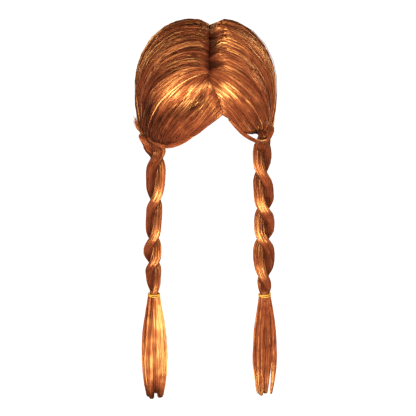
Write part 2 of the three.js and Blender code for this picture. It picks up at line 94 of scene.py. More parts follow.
def makeFibre():
    material, tree = newMaterial("modacrylic_hair_fibre")
    place = addNode(tree, "TexCoord")
    drift = addNode(tree, "TexNoise", {
        "Vector": place.outputs["Object"], "Scale": 1 / (fibreLook["shadeSpan"] * mm), "Detail": 2.0})
    low, high = fibreLook["noiseSpan"]
    noise = {"Value": drift.outputs["Fac"], "From Min": low, "From Max": high}
    swing = addNode(tree, "MapRange", {
        **noise, "To Min": -fibreLook["shadeDrift"], "To Max": fibreLook["shadeDrift"]})
    rough = addNode(tree, "MapRange", {
        **noise, "To Min": fibreLook["roughness"][0], "To Max": fibreLook["roughness"][1]})
    tone = addNode(tree, "Attribute", attribute_name="tone")
    gloss = addNode(tree, "Attribute", attribute_name="gloss")  # less where fibres are packed and shade each other
    shade = addNode(tree, "Math", {0: tone.outputs["Fac"], 1: swing.outputs["Result"]}, operation="ADD")
    colour = addNode(tree, "ValToRGB", {"Fac": shade.outputs["Value"]}, stops=fibreLook["stops"])
    skin = addNode(tree, "BsdfPrincipled", {
        "Base Color": colour.outputs["Color"], "Roughness": rough.outputs["Result"], "IOR": fibreLook["bend"],
        "Specular IOR Level": gloss.outputs["Fac"], "Specular Tint": linear(fibreLook["glossTint"])})
    addNode(tree, "OutputMaterial", {"Surface": skin.outputs["BSDF"]})
    return material


# The hair beneath the outer fibres: the same fibre packed close in fine furrows, darker as painted shade.
underLook = {
    "stops": [(0.0, "#28110a"), (0.5, "#4e2616"), (1.0, "#724024")],
    "furrow": 1.1,  # mm between furrows, coarser than real fibres so that they show
    "lengthwise": 0.03,  # how much slower the furrows change along the hair than across it
    "roughness": 0.62,
    "bend": 1.52,
    "bump": 0.35,
    "deep": 0.4,  # mm
}


def makeUnder():
    material, tree = newMaterial("modacrylic_hair_packed_shaded")
    grain = addNode(tree, "UVMap", uv_map="grain")  # metres across and along the fibres
    stretch = addNode(tree, "Mapping", {
        "Vector": grain.outputs["UV"], "Scale": (1.0, underLook["lengthwise"], 1.0)})
    furrow = addNode(tree, "TexNoise", {
        "Vector": stretch.outputs["Vector"], "Scale": 1 / (2 * underLook["furrow"] * mm), "Detail": 3.0})
    colour = addNode(tree, "ValToRGB", {"Fac": furrow.outputs["Fac"]}, stops=underLook["stops"])
    bump = addNode(tree, "Bump", {
        "Height": furrow.outputs["Fac"], "Strength": underLook["bump"], "Distance": underLook["deep"] * mm})
    skin = addNode(tree, "BsdfPrincipled", {
        "Base Color": colour.outputs["Color"], "Roughness": underLook["roughness"], "IOR": underLook["bend"],
        "Normal": bump.outputs["Normal"], "Specular Tint": linear(fibreLook["glossTint"])})
    addNode(tree, "OutputMaterial", {"Surface": skin.outputs["BSDF"]})
    return material


# Covered elastic: rubber thread wrapped in yellow yarn, so it is matt with fine ribs round each turn.
elasticLook = {
    "stops": [(0.0, "#6a4307"), (0.5, "#986f15"), (1.0, "#b48e2f")],
    "yarn": 0.8,  # mm between turns of yarn, coarser than real so that they show
    "slant": 25,  # degrees
    "waveSpan": 0.314,  # length of one band of a wave texture whose scale is 1
    "roughness": 0.62,
    "bump": 0.5,
    "deep": 0.2,  # mm
}


def makeElastic():
    material, tree = newMaterial("covered_elastic_yarn")
    grain = addNode(tree, "UVMap", uv_map="grain")
    turn = addNode(tree, "Mapping", {
        "Vector": grain.outputs["UV"], "Rotation": (0, 0, math.radians(elasticLook["slant"]))})
    yarn = addNode(tree, "TexWave", {
        "Vector": turn.outputs["Vector"], "Scale": elasticLook["waveSpan"] / (elasticLook["yarn"] * mm),
        "Distortion": 1.5, "Detail": 2.0}, wave_type="BANDS", bands_direction="X")
    colour = addNode(tree, "ValToRGB", {"Fac": yarn.outputs["Fac"]}, stops=elasticLook["stops"])
    bump = addNode(tree, "Bump", {
        "Height": yarn.outputs["Fac"], "Strength": elasticLook["bump"], "Distance": elasticLook["deep"] * mm})
    skin = addNode(tree, "BsdfPrincipled", {
        "Base Color": colour.outputs["Color"], "Roughness": elasticLook["roughness"],
        "Normal": bump.outputs["Normal"]})
    addNode(tree, "OutputMaterial", {"Surface": skin.outputs["BSDF"]})
    return material


fibre, packed, elastic = makeFibre(), makeUnder(), makeElastic()
print("materials made")


# smooth readings

def blendTo(low, high, value):
    t = np.clip((value - low) / (high - low), 0, 1)
    return t * t * (3 - 2 * t)


def between(low, high, share):
    return low + (high - low) * share


def hermite(start, end, first, second, w):  # from start to end, with the slopes first and second there
    rise = end - start
    return start + w * (first + w * (3 * rise - 2 * first - second + w * (first + second - 2 * rise)))


def bezier(start, mid, end, w):
    return (1 - w) ** 2 * start + 2 * w * (1 - w) * mid + w ** 2 * end


def through(points, t):  # a uniform Catmull-Rom curve through points
    points = np.asarray(points, float)
    last = len(points) - 1
    place = np.clip(t, 0, 1) * last
    k = np.minimum(place.astype(int), last - 1)
    padded = np.vstack([2 * points[0] - points[1], points, 2 * points[-1] - points[-2]])
    before, start, end, after = (padded[k + i] for i in range(4))
    return hermite(start, end, (end - before) / 2, (after - start) / 2, (place - k)[..., None])


def wander(knots, t):  # a smooth reading of rows of random numbers, a row for each row of t
    last = knots.shape[1] - 1
    place = np.clip(t, 0, 1) * last
    k = np.minimum(place.astype(int), last - 1)
    padded = np.pad(knots, ((0, 0), (1, 1)), mode="edge")
    before, start, end, after = (np.take_along_axis(padded, k + i, 1) for i in range(4))
    return hermite(start, end, (end - before) / 2, (after - start) / 2, place - k)


def readTable(rows, t, column=1):  # a smooth reading of a table whose first column is t
    table = np.asarray(rows, float)
    x, y = table[:, 0], table[:, column]
    last = len(x) - 1
    before, after = np.maximum(np.arange(last + 1) - 1, 0), np.minimum(np.arange(last + 1) + 1, last)
    slope = (y[after] - y[before]) / (x[after] - x[before])
    k = np.clip(np.searchsorted(x, t) - 1, 0, last - 1)
    span = x[k + 1] - x[k]
    return hermite(y[k], y[k + 1], slope[k] * span, slope[k + 1] * span, np.clip((t - x[k]) / span, 0, 1))


# meshes

mergeWithin = 0.01  # mm
toneRange = (0.02, 0.98)


def finishPiece(name, mesh, materials, nodes=()):
    mesh.name = name
    piece = bpy.data.objects.new(name, mesh)
    bpy.context.scene.collection.objects.link(piece)
    for material in materials:
        mesh.materials.append(material)
    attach(piece, "root")
    if nodes:
        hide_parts(*nodes)
    added[name] = sum(len(p.vertices) - 2 for p in mesh.polygons)
    print(name, added[name], "triangles")


def finishHair(name, packedMesh, looseMesh):
    finishPiece(name + "_packed", packedMesh, [packed], [name])
    finishPiece(name + "_fibres", looseMesh, [fibre])


def fibreMesh(paths, radii, tone, gloss, dice):  # joined three-sided closed tubes, one along each path
    count, steps, facets = paths.shape[0], paths.shape[1], 3
    ahead = np.gradient(paths, axis=1)
    ahead /= np.linalg.norm(ahead, axis=-1, keepdims=True)
    chord = paths[:, -1] - paths[:, 0]
    across = np.cross(chord, dice.normal(0, 1, (count, 3)))[:, None, :]
    across = across - (across * ahead).sum(-1, keepdims=True) * ahead
    across /= np.linalg.norm(across, axis=-1, keepdims=True)
    upward = np.cross(ahead, across)
    angle = fullTurn * np.arange(facets) / facets
    ring = np.cos(angle)[:, None] * across[:, :, None, :] + np.sin(angle)[:, None] * upward[:, :, None, :]
    points = (paths[:, :, None, :] + radii[:, :, None, None] * ring) * mm

    index = np.arange(count * steps * facets).reshape(count, steps, facets)
    a, d = index[:, :-1], index[:, 1:]
    b, c = np.roll(a, -1, 2), np.roll(d, -1, 2)
    quads = np.stack([a, b, c, d], -1).reshape(-1, 4)
    caps = np.concatenate([index[:, 0, ::-1], index[:, -1]]).reshape(-1, 3)
    corners = np.concatenate([quads.ravel(), caps.ravel()])
    starts = np.concatenate([4 * np.arange(len(quads)), 4 * len(quads) + 3 * np.arange(len(caps))])

    mesh = bpy.data.meshes.new("fibres")
    mesh.vertices.add(points.size // 3)
    mesh.vertices.foreach_set("co", points.ravel())
    mesh.loops.add(len(corners))
    mesh.loops.foreach_set("vertex_index", corners)
    mesh.polygons.add(len(starts))
    mesh.polygons.foreach_set("loop_start", starts)
    mesh.update(calc_edges=True)
    mesh.shade_smooth()
    ends = np.empty(2 * len(mesh.edges), int)
    mesh.edges.foreach_get("vertices", ends)
    lengthwise = np.abs(ends[::2] - ends[1::2]) == facets
    mesh.edges.foreach_set("use_edge_sharp", lengthwise)  # smooth along a fibre and faceted round it
    for title, values in (("tone", np.clip(tone, *toneRange)), ("gloss", gloss)):
        rows = np.reshape(values, (-1, 1)) if np.ndim(values) < 2 else values
        spread = np.repeat(np.broadcast_to(rows, (count, steps)).ravel(), facets)
        mesh.attributes.new(title, "FLOAT", "POINT").data.foreach_set("value", spread)
    return mesh


def gridSheet(bm, columns, rows, place, size):  # a grid moved to place(u, v), with size in mm across and along
    grain = bm.loops.layers.uv.get("grain") or bm.loops.layers.uv.new("grain")
    verts = bmesh.ops.create_grid(bm, x_segments=columns, y_segments=rows, size=0.5)["verts"]
    flat = np.array([v.co for v in verts]) + 0.5
    for face in {f for v in verts for f in v.link_faces}:
        for loop in face.loops:
            loop[grain].uv = [(loop.vert.co[i] + 0.5) * size[i] * mm for i in (0, 1)]
    for vert, point in zip(verts, place(flat[:, 0], flat[:, 1]) * mm):
        vert.co = point


def toMesh(bm):
    bmesh.ops.recalc_face_normals(bm, faces=bm.faces)
    mesh = bpy.data.meshes.new("part")
    bm.to_mesh(mesh)
    bm.free()
    mesh.shade_smooth()
    return mesh


def wallMesh(columns, rows, outside, inside, size):  # two sheets bridged round their rims
    bm = bmesh.new()
    gridSheet(bm, columns, rows, outside, size)
    gridSheet(bm, columns, rows, inside, size)
    bmesh.ops.bridge_loops(bm, edges=[e for e in bm.edges if e.is_boundary])
    return toMesh(bm)


def tubeMesh(columns, rows, place, size):  # a sheet rolled shut, with filled ends
    bm = bmesh.new()
    gridSheet(bm, columns, rows, place, size)
    bmesh.ops.remove_doubles(bm, verts=bm.verts, dist=mergeWithin * mm)
    bmesh.ops.holes_fill(bm, edges=[e for e in bm.edges if e.is_boundary], sides=columns + 1)
    return toMesh(bm)


# the head under the hair, and the ways the hair is swept over it

head = {
    "half": (78, 96, 88),
    "lowerStretch": 150,
    "squareness": 2.4,
    "seamOffset": 5,
    "seamGap": -0.8,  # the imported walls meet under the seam
    "gatherRadius": 13,
}
sides = {
    "left": {"sign": -1, "gather": (-72, -38, -42), "rootX": -63.5, "twist": -1, "seed": 4},
    "right": {"sign": 1, "gather": (73, -38, -39), "rootX": 73, "twist": 1, "seed": 5},
}
root = {"y": -38, "z": -133}


def overHead(toward, lift):
    n = head["squareness"]
    way = toward / np.linalg.norm(toward, axis=-1, keepdims=True)
    half = np.ones_like(way) * head["half"]
    half[..., 2] = np.where(way[..., 2] > 0, head["half"][2], head["lowerStretch"])
    point = way * (np.abs(way / half) ** n).sum(-1, keepdims=True) ** (-1 / n)
    outward = np.sign(point) * np.abs(point) ** (n - 1) / half ** n
    outward /= np.linalg.norm(outward, axis=-1, keepdims=True)
    return point + outward * np.asarray(lift)[..., None] - (0, 0, head["half"][2])


def towards(azimuth, elevation):
    a, e = math.radians(azimuth), math.radians(elevation)
    return np.array((math.cos(e) * math.sin(a), -math.cos(e) * math.cos(a), math.sin(e)))


def towardsParting(partAngle, sign):
    a = math.radians(partAngle)
    way = np.array((0, -math.cos(a), math.sin(a)))
    reach = np.linalg.norm(overHead(way, 0.0) + (0, 0, head["half"][2]))
    way[0] = (head["seamOffset"] + sign * head["seamGap"]) / reach
    return way / np.linalg.norm(way)


def towardsGather(side, turn):
    x, y, drop = side["gather"]
    a = math.radians(turn)
    way = np.array((x, y - head["gatherRadius"] * math.cos(a), drop + head["gatherRadius"] * math.sin(a)))
    return way / np.linalg.norm(way)


# crown guides: part angle, azimuth and elevation half way, turn round the gather's mouth
crownFront = {"left": (40, 44, 35, 70), "right": (40, 34, 30, 70)}
crownBack = [
    (66, 66, 47, 92),
    (98, 92, 45, 116),
    (138, 116, 23, 146),
    (173, 125, -1, 173),
    (203, 127, -16, 200),
]
# fringe guides: part angle, azimuth and elevation half way, azimuth and elevation at the face
fringeDivide = (34, 8.4, 23.5, 12.8, 8.3)
fringeGuides = {
    "left": [
        fringeDivide,
        (34.8, 3, 25, 3.2, 0.9),
        (35.6, -3, 26, -5.2, -6),
        (36.4, -10, 27, -14.2, -11),
        (37.2, -18, 28.5, -23, -16.5),
        (38, -26, 30, -31, -20),
        (38.7, -33, 32, -40, -21.5),
        (39.4, -39, 34, -50, -22),
    ],
    "right": [
        fringeDivide,
        (35, 13, 24, 17.8, 4.8),
        (36, 18, 25, 22.2, -1.2),
        (37, 22, 26, 27.5, -6),
        (38, 26, 27.5, 35, -10),
        (39, 30, 29, 48, -14),
    ],
}
# thickness of the hair: share of the way along it, depth
crownDepth = {
    "left": [(0, 6), (0.09, 11), (0.26, 12.6), (0.5, 10.8), (0.8, 6), (1, 4)],
    "right": [(0, 4), (0.045, 4.5), (0.08, 7.5), (0.125, 13.4), (0.23, 14.6), (0.5, 12.2), (0.8, 10), (1, 7)],
}
fringeDepth = [(0, 6), (0.16, 11), (0.38, 17), (0.56, 20), (0.74, 17.5), (0.88, 11.5), (1, 3)]
fringeBlend = {"across": 0.6, "along": 0.7}  # from where a fringe's depth passes to the crown's beside it
lockRelief = {"height": 2.6, "fadeFrom": 0.7, "fadedBy": 0.7}
napeEdge = {"share": 0.1, "depth": 3}


def steer(guides, side):
    rows = []
    for guide in guides:
        start = towardsParting(guide[0], side["sign"])
        if len(guide) == 4:  # a crown's
            rows.append((start, towards(guide[1] * side["sign"], guide[2]), towardsGather(side, guide[3])))
        else:
            rows.append((start, towards(guide[1], guide[2]), towards(guide[3], guide[4])))
    return [np.array(column) for column in zip(*rows)]


def lockRise(u, v, locks):
    across = 2 * ((u * locks) % 1) - 1
    fade = 1 - lockRelief["fadedBy"] * blendTo(lockRelief["fadeFrom"], 1, v)
    return lockRelief["height"] * (0.5 - across ** 2) * fade


def crownPanel(sideName, locks):
    def depth(u, v):
        full = readTable(crownDepth[sideName], v) + lockRise(u, v, locks)
        return between(full, napeEdge["depth"], blendTo(1 - napeEdge["share"], 1, u))
    return {"flow": steer([crownFront[sideName], *crownBack], sides[sideName]), "depth": depth}


def fringePanel(sideName, locks):
    def depth(u, v):
        beside = blendTo(fringeBlend["across"], 1, u) * (1 - blendTo(fringeBlend["along"], 1, v))
        own = between(readTable(fringeDepth, v), readTable(crownDepth[sideName], v), beside)
        return own + lockRise(u, v, locks)
    return {"flow": steer([*fringeGuides[sideName], crownFront[sideName]], sides[sideName]), "depth": depth}


def flowAt(panel, u, v):  # the way from the middle of the head to a panel's hair
    return bezier(*(through(column, u) for column in panel["flow"]), v[..., None])


# the cap: four panels, each a packed wall with loose fibres swept over it

# spread: where the fibres start across the panel, below 0 part of the way down the line between the fringes
# drift and sweep: how far the fibres are drawn to the panel's outer side, and how late
# begin, run and reach: where fibres begin along the panel, how far they run, and where the longest end
# stray, wave and ripple: how far fibres lean and wave across the panel, and mm that clumps rise and sink
# tuft and tuftHighlight: how unevenly the hair rises from the parting, and the gloss and painted highlight where it
# turns over
# paintedPartingShade, paintedOuterShade and paintedTipShade: tone lost to painted shade in the parting, at the outer
# side and at the face
# band: paler, glossier hair where a fringe bulges, a painted highlight, and a darker hollow below it, painted shade
crownSweep = {
    "make": crownPanel, "locks": 8, "grid": (96, 40), "size": (270, 230), "fibres": 2100, "steps": 11,
    "clumps": 84, "spread": (0, 1), "drift": 0, "sweep": 1, "begin": (-1.2, 0.4), "run": (0.6, 1.2),
    "reach": 1.0, "stray": 0.008, "wave": 0.0035, "ripple": 0.45, "paintedOuterShade": 0.0, "paintedTipShade": 0.0,
    "band": None,
}
fringeSweep = {
    "make": fringePanel, "steps": 11, "begin": (-0.8, 0.5), "run": (0.4, 1.0), "reach": 1.005, "stray": 0.03,
    "wave": 0.006, "ripple": 0.3, "toneSpread": 0.07, "tuftHighlight": 0.0,
}
panels = {
    "crown_left": {
        # tone below crown_right's: painted shade, the left side darker as if lit from the right
        **crownSweep, "side": "left", "seed": 11, "tone": 0.26, "toneSpread": 0.08, "gloss": 0.22,
        "tuft": 0.15, "tuftHighlight": 0.0, "paintedPartingShade": 0.0,
    },
    "crown_right": {
        **crownSweep, "side": "right", "seed": 12, "tone": 0.44, "toneSpread": 0.07, "gloss": 0.28,
        "tuft": 0.3, "tuftHighlight": 0.8, "paintedPartingShade": 0.44,
    },
    "fringe_left": {
        **fringeSweep, "side": "left", "seed": 13, "locks": 6, "grid": (72, 36), "size": (150, 110),
        "fibres": 2300, "clumps": 110, "spread": (-1.6, 1), "drift": 0.62, "sweep": 1.3,
        "tone": 0.5, "gloss": 0.45, "tuft": 0.1, "paintedPartingShade": 0.0, "paintedOuterShade": 0.25, "paintedTipShade": 0.24,
        "band": {
            "middle": [(0, 0.27), (0.4, 0.38), (0.7, 0.49), (1, 0.48)], "width": 0.11, "ends": (0.85, 1.05),
            "gloss": 0.6, "tone": 0.3, "hollow": 0.22, "hollowWidth": 0.12, "hollowShade": 0.34,
        },
    },
    "fringe_right": {
        **fringeSweep, "side": "right", "seed": 14, "locks": 5, "grid": (60, 36), "size": (100, 110),
        "fibres": 1600, "clumps": 90, "spread": (-3.4, 1), "drift": 0.8, "sweep": 1.6,
        "tone": 0.56, "gloss": 0.35, "tuft": 0.2, "paintedPartingShade": 0.1, "paintedOuterShade": 0.0, "paintedTipShade": 0.0,
        "band": {
            "middle": [(0, 0.4), (0.5, 0.38), (1, 0.36)], "width": 0.1, "ends": (0.4, 0.8),
            "gloss": 0.75, "tone": 0.34, "hollow": 0.3, "hollowWidth": 0.15, "hollowShade": 0.06,
        },
    },
}
fibreSize = {"radius": (0.3, 0.55), "endTaper": 0.5}
wallBelow = 1.7  # mm from the panel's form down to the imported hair
innerLift = 0.3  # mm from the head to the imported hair's inside
# how the fibres of every panel lie, with lifts in mm
lay = {
    "lastBegin": 0.95, "leastRun": 0.3, "endSpread": 0.03, "sideSpread": 0.003,
    "closing": 0.3,  # how far a clump closes up half way along
    "rise": 0.5,  # how fully a fibre is up between its sunken ends, more as it nears 0
    "waveKnots": 5, "rippleKnots": 8, "tuftKnots": 34,
    "layer": (-1.4, 0.7), "clumpFloor": -0.35, "rippleFloor": -0.5, "clumpTuft": 0.35,
    "loose": 0.03, "flying": 0.002, "looseLift": (0.5, 2), "looseStray": 2.5,  # shares that stand proud and fly
    "edgeFrom": 0.96, "partingTo": 0.02, "sink": {"edge": 0.5, "inside": 1.6, "parting": 0.9},
    "tuftLag": 1.6,  # how much later than usual the hair may rise from the parting
    "tuftAcross": (0.3, 0.6), "tuftAlong": (0.15, 0.4),
}
# how they are shaded: spans along or across a panel over which each shade comes or goes
shading = {
    "toneSpread": 0.1, "paleShare": 0.03, "paleTone": 0.15,
    "recess": (0.075, 0.13), "outer": (0.65, 1), "tip": (0.78, 0.95), "tipAcross": (0.3, 0.7),
    "turn": (0.1, 0.14), "turned": (0.17, 0.25), "turnAcross": (0.4, 0.6), "turnHighlight": 0.15,
    "bandRagged": 0.1, "bandShare": (0.1, 1.9), "hollowAcross": (0.1, 0.3),
}


def tuftReach(plan, u, v):  # the tufts are at the front of the parting and fade along the hair
    return plan["tuft"] * (1 - blendTo(*lay["tuftAcross"], u)) * (1 - blendTo(*lay["tuftAlong"], v))


def onWall(plan, panel, u, v):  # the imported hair, below the latest tuft
    late = v * (1 - lay["tuftLag"] * tuftReach(plan, u, v))
    return overHead(flowAt(panel, u, v), panel["depth"](u, late) - wallBelow)


def layFibres(plan, panel, dice):
    count, clumps = plan["fibres"], plan["clumps"]
    low, high = plan["spread"]
    first = np.sort(dice.uniform(low, high, count))
    clump = np.clip(((first - low) / (high - low) * clumps).astype(int), 0, clumps - 1)
    middle = between(low, high, (clump + 0.5) / clumps)
    clumpTone = dice.normal(0, plan["toneSpread"], clumps)
    clumpLift = np.maximum(dice.normal(0, plan["ripple"], clumps), lay["clumpFloor"])
    clumpTuft = dice.normal(0, lay["clumpTuft"], clumps)
    clumpRipple = np.maximum(dice.normal(0, plan["ripple"], (clumps, lay["rippleKnots"])), lay["rippleFloor"])

    # a fibre shows for part of the way, and sinks under its neighbours where it begins and ends inside the panel
    begins = np.maximum(dice.uniform(*plan["begin"], count), 0)
    if low < 0:  # one that starts before 0 leaves the line that divides the fringes, part of the way down
        leaves = (1 - 1 / (1 - np.minimum(first, 0))) / plan["drift"]
        begins = np.maximum(begins, leaves ** (1 / plan["sweep"]))
    begins = np.minimum(begins, lay["lastBegin"])
    ends = begins + dice.uniform(*plan["run"], count)
    ends = np.minimum(ends, plan["reach"] - lay["endSpread"] * dice.random(count))
    ends = np.maximum(ends, np.minimum(begins + lay["leastRun"], plan["reach"]))
    along = np.linspace(0, 1, plan["steps"])[None, :]
    v = between(begins[:, None], ends[:, None], along)
    held = np.clip(v, 0, 1)

    wave = wander(dice.normal(0, 1, (count, lay["waveKnots"])), v)
    loose = dice.random(count)
    u = middle[:, None] + (first - middle)[:, None] * (1 - lay["closing"] * np.sin(math.pi * v))
    u = 1 - (1 - u) * (1 - plan["drift"] * held ** plan["sweep"])
    u = u + plan["wave"] * wave * np.sin(math.pi * held)
    stray = plan["stray"] * np.where(loose < lay["loose"], lay["looseStray"], 1)
    u = u + (dice.normal(0, 1, count) * stray)[:, None] * (along - 0.5)
    u = np.where(u > 1, 2 - u, u)  # turned back at the panel's side
    u = np.clip(u, lay["sideSpread"] * dice.random((count, 1)), 1)

    layer = dice.uniform(*lay["layer"], count) + clumpLift[clump]
    for share in (lay["loose"], lay["flying"]):
        layer = np.where(loose < share, layer + dice.uniform(*lay["looseLift"], count), layer)
    body = np.sin(math.pi * along) ** lay["rise"]
    sink = np.where(v > lay["partingTo"], lay["sink"]["inside"], lay["sink"]["parting"])
    sink = np.where(v > lay["edgeFrom"], lay["sink"]["edge"], sink)
    lift = (layer[:, None] + wander(clumpRipple[clump], v)) * body - sink * (1 - body)

    # tufts: the hair rises from the parting sooner in some places than in others, at the front
    tuft = wander(dice.normal(0, 1, (1, lay["tuftKnots"])), u.reshape(1, -1)).reshape(u.shape)
    tuft = np.maximum(tuft + clumpTuft[clump][:, None], -lay["tuftLag"])
    warped = np.clip(v * (1 + tuft * tuftReach(plan, u, v)), 0, 1)
    return {
        "paths": overHead(flowAt(panel, u, v), panel["depth"](u, warped) + lift),
        "u": u, "v": v, "warped": warped, "clumpTone": clumpTone[clump], "clumpTuft": clumpTuft[clump],
    }


def shadeFibres(plan, laid, dice):  # tone and gloss along each fibre
    u, v, warped = laid["u"], laid["v"], laid["warped"]
    tone = plan["tone"] + laid["clumpTone"] + dice.normal(0, shading["toneSpread"], len(u))
    tone = np.where(dice.random(len(u)) < shading["paleShare"], tone + shading["paleTone"], tone)
    # painted shade: tone taken off in the parting's recess, at the outer side and along the lower edge at the face
    recess = 1 - blendTo(*shading["recess"], warped)
    shadow = plan["paintedPartingShade"] * recess + plan["paintedOuterShade"] * blendTo(*shading["outer"], u)
    shadow = shadow + plan["paintedTipShade"] * blendTo(*shading["tip"], v) * blendTo(*shading["tipAcross"], u)
    # painted highlight: paler and glossier where the tufts turn over
    turn = blendTo(*shading["turn"], warped) * (1 - blendTo(*shading["turned"], warped))
    turn = plan["tuftHighlight"] * turn * (1 - blendTo(*shading["turnAcross"], u))
    tone = tone[:, None] - shadow + shading["turnHighlight"] * turn
    gloss = (plan["gloss"] + turn) * (1 - np.minimum(2 * plan["paintedPartingShade"], 1) * recess)
    band = plan["band"]
    # painted highlight, paler and glossier, along a fringe's bulge, and painted shade in a darker hollow below it
    if band:  # ragged, because each clump and fibre has its own share
        past = v - readTable(band["middle"], u) - shading["bandRagged"] * laid["clumpTuft"][:, None]
        across = 1 - blendTo(*band["ends"], u)
        bandHighlight = across * np.exp(-(past / band["width"]) ** 2) * dice.uniform(*shading["bandShare"], (len(u), 1))
        hollow = across * np.exp(-((past - band["hollow"]) / band["hollowWidth"]) ** 2)
        hollow = hollow * blendTo(*shading["hollowAcross"], u)
        tone = tone + band["tone"] * bandHighlight - band["hollowShade"] * hollow
        gloss = gloss + band["gloss"] * bandHighlight
    return tone, gloss


def sweptFibres(plan, panel):
    dice = np.random.default_rng(plan["seed"])
    laid = layFibres(plan, panel, dice)
    taper = 1 - fibreSize["endTaper"] * np.linspace(-1, 1, plan["steps"]) ** 4
    radii = dice.uniform(*fibreSize["radius"], (plan["fibres"], 1)) * taper
    tone, gloss = shadeFibres(plan, laid, dice)
    return fibreMesh(laid["paths"], radii, tone, gloss, dice)


for name, plan in panels.items():
    panel = plan["make"](plan["side"], plan["locks"])
    wall = wallMesh(
        *plan["grid"],
        lambda u, v: onWall(plan, panel, u, v),
        lambda u, v: overHead(flowAt(panel, u, v), np.full_like(u, innerLift)),
        plan["size"])
    finishHair(name, wall, sweptFibres(plan, panel))
print("cap made")


# the form of the plaits, which the gathers and tails meet: two strands each, turned round one another like a rope

plaitForm = {"length": 202, "radius": 7, "offset": 6, "flat": 0.2, "quickening": 0.68, "gap": 0.4}
rootReach = (plaitForm["radius"] + plaitForm["offset"], plaitForm["radius"] + plaitForm["offset"] / 2)
# drop below the root, sway, girth, half turns
plaitHang = {
    "left": [
        (0, -0.6, 1.04, -0.35), (9, 1.2, 1.09, -0.2), (19, 2.2, 0.98, 0), (46, 1.8, 0.93, 0.5), (75, 0.2, 0.85, 1),
        (101, -1.2, 0.76, 1.5), (129, -2.6, 0.8, 2), (148, -3.6, 0.84, 2.55), (163, -3, 0.82, 3),
        (180, -2.6, 0.74, 3.45), (202, -2.2, 0.57, 3.9),
    ],
    "right": [
        (0, 0, 0.8, -0.7), (15, -0.1, 0.88, -0.4), (38, -0.1, 0.9, 0), (66, 2.5, 0.95, 0.55), (88, 3.5, 0.98, 1),
        (130, 3.4, 0.98, 2), (155, 3.6, 1.04, 2.5), (182, 4.2, 0.85, 3), (202, 5, 0.57, 3.4),
    ],
}
rootGirth = {sideName: rows[0][2] for sideName, rows in plaitHang.items()}
footSway = {sideName: rows[-1][1] for sideName, rows in plaitHang.items()}


# the gathers where the plaits start

# below the mouth's top, share moved to the root, half sizes across and from front to back
gatherSections = [(0.8, 0, 2, 2), (2.5, 0, 4, 6), (5.5, 0.05, 5.2, 9.2), (9.5, 0.3, 6.5, 11), (13, 0.7, 8, 10.5)]
gatherPlan = {
    "standoff": 5.5, "grid": (20, 24), "size": (60, 25), "core": 0.9, "fibres": 260, "steps": 10, "seed": 21,
    # tone kept low: painted shade where the gathers sit under the cap's edge
    "begin": 0.12, "lean": 0.25, "grow": (0.9, 1.03), "gloss": 0.25, "tone": 0.42, "toneSpread": 0.1,
    "runOn": 7, "runOnShare": (0.2, 2), "drawIn": 0.4,  # how far fibres run on into the plait, and towards its axis
    "hangFrom": 0.4, "hanging": 0.6,  # share of the way from which some fibres hang straight, and how many do
}
# hair that runs on into the plait: panel, fibres, where it leaves the panel's edge, turn where it meets the root
feeders = {
    "left": [("fringe_left", 50, (0.84, 1.0), (-1.8, 0.2)), ("crown_left", 120, (0, 0.75), (3.6, 1.0))],
    "right": [("fringe_right", 150, (0.77, 1.0), (5.0, 3.0)), ("crown_right", 120, (0, 0.75), (-0.4, 2.2))],
}
feederPlan = {
    "leave": (0.9, 1), "below": 1.5, "turnSpread": 0.12, "far": (0.55, 0.95),
    "knee": (0.2, 0.4, 0.75),  # where it bends, from the root towards the edge
}


def onGather(sideName, angle, t, grow):
    side = sides[sideName]
    mouth = overHead(np.array(side["gather"], float), gatherPlan["standoff"])
    top = mouth[2] + head["gatherRadius"]
    halfRoot = [rootGirth[sideName] * reach for reach in rootReach]
    foot = (top - root["z"] - plaitForm["gap"], 1, *halfRoot)
    rows = [(k, *row) for k, row in enumerate([*gatherSections, foot])]
    below, moved, halfX, halfY = (readTable(rows, t * (len(rows) - 1), c) for c in (1, 2, 3, 4))
    x = between(mouth[0], side["rootX"], moved) + grow * halfX * np.cos(angle)
    y = between(mouth[1], root["y"], moved) + grow * halfY * np.sin(angle)
    return np.stack([x, y, top - below], -1)


def feederPaths(sideName, dice):
    paths = []
    for panelName, count, edge, turn in feeders[sideName]:
        panel = panels[panelName]["make"](sideName, panels[panelName]["locks"])
        share = dice.random(count)
        u, v = between(*edge, share), dice.uniform(*feederPlan["leave"], count)
        start = overHead(flowAt(panel, u, v), panel["depth"](u, v) - feederPlan["below"])
        angle = between(*turn, np.clip(share + dice.normal(0, feederPlan["turnSpread"], count), 0, 1))
        far = rootGirth[sideName] * dice.uniform(*feederPlan["far"], count)
        foot = np.stack([
            sides[sideName]["rootX"] + far * rootReach[0] * np.cos(angle),
            root["y"] + far * rootReach[1] * np.sin(angle),
            np.full(count, root["z"] - gatherPlan["runOn"])], -1)
        knee = foot + (start - foot) * feederPlan["knee"]
        t = np.linspace(0, 1, gatherPlan["steps"])[None, :, None]
        paths.append(bezier(start[:, None], knee[:, None], foot[:, None], t))
    return np.concatenate(paths)


